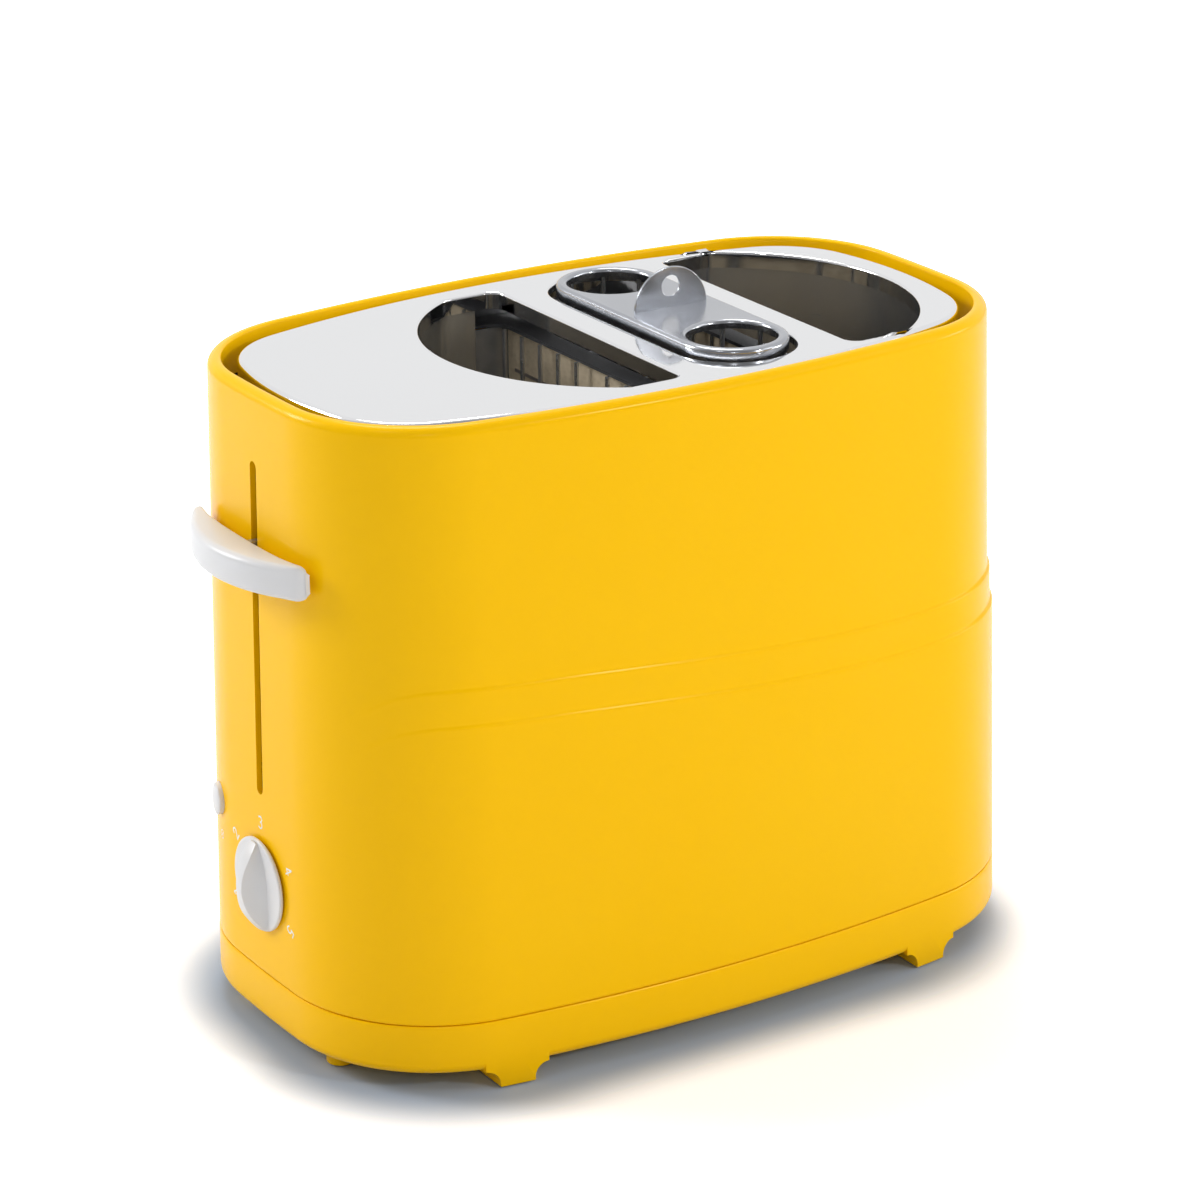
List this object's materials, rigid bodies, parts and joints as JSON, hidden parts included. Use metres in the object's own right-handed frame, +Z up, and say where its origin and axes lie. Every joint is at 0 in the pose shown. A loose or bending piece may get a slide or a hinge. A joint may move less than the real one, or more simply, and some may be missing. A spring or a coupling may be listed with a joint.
{
  "type": "hot dog toaster",
  "caption": "Pop-up hot dog toaster: gloss housing with swept ledges, mirror top with bun slots and a lift-out cage, side lever, dial, cancel button and crumb tray.",
  "frame": {"origin": "on the table, at the middle of the outline seen from above, with the lever knob counted in", "axes": "+X along the body away from the lever, +Y from the front long side to the back one, +Z up"},
  "size_m": [0.2952, 0.1672, 0.2486],
  "materials": {
    "yellow_plastic": "gloss yellow",
    "white_plastic": "slightly translucent white, satin",
    "bright_steel": "mirror",
    "steel": "brushed",
    "zinc_steel": "dull zinc",
    "black_plastic": "matt black",
    "black_rubber": "matt",
    "mica": "pale mineral board",
    "heater_alloy": "dull resistance ribbon",
    "coil_copper": "enamelled winding",
    "board_green": "circuit board"
  },
  "bodies": {
    "body": {"housing": "yellow_plastic", "base": "yellow_plastic", "foot_pads": "black_rubber", "top_plate": "bright_steel", "top_frame": "black_plastic", "bun_liner_left": "steel", "bun_liner_right": "steel", "end_frame_left": "zinc_steel", "end_frame_right": "zinc_steel", "side_shield_front": "zinc_steel", "side_shield_back": "zinc_steel", "heater_board_left": "mica", "heater_board_right": "mica", "heater_wire_left": "heater_alloy", "heater_wire_right": "heater_alloy", "board_rails": "zinc_steel", "guard_wires": "steel", "guide_rod": "steel", "lift_spring": "steel", "magnet_core": "zinc_steel", "magnet_coil": "coil_copper", "circuit_board": "board_green", "potentiometer": "black_plastic", "cancel_switch": "black_plastic", "power_contacts": "black_plastic", "cord_bush": "black_rubber", "base_screws": "zinc_steel", "chassis_screws": "zinc_steel"},
    "carriage": {"carriage": "zinc_steel", "carriage_bush": "white_plastic", "lift_arm": "zinc_steel", "lever_arm": "zinc_steel", "lever_knob": "white_plastic", "bun_lifter_left": "steel", "bun_lifter_right": "steel", "armature": "zinc_steel"},
    "cage": {"cage_top": "steel", "cage_wires": "steel", "cage_hoops": "steel", "cage_bottom": "steel"},
    "dial": {"dial": "white_plastic", "dial_shaft": "steel"},
    "button": {"cancel_button": "white_plastic", "switch_plunger": "black_plastic"},
    "tray": {"crumb_tray": "zinc_steel", "tray_front": "yellow_plastic"}
  },
  "joints": [
    {"name": "lever", "type": "slide", "parent": "body", "child": "carriage", "axis": [0, 0, 1], "range_m": [-0.082, 0.025], "stiffness_N_per_m": 150, "springref_m": 0.016, "deforming": ["lift_spring"]},
    {"name": "cage_lift", "type": "slide", "parent": "carriage", "child": "cage", "axis": [0, 0, 1], "range_m": [0, 0.11]},
    {"name": "dial_turn", "type": "hinge", "parent": "body", "child": "dial", "pos_m": [-0.13354, 0, 0.0585], "axis": [1, 0, 0], "range_deg": [-119, 119]},
    {"name": "cancel", "type": "slide", "parent": "body", "child": "button", "axis": [1, 0, 0], "range_m": [0, 0.002], "stiffness_N_per_m": 800},
    {"name": "tray_slide", "type": "slide", "parent": "body", "child": "tray", "axis": [1, 0, 0], "range_m": [0, 0.15]}
  ]
}
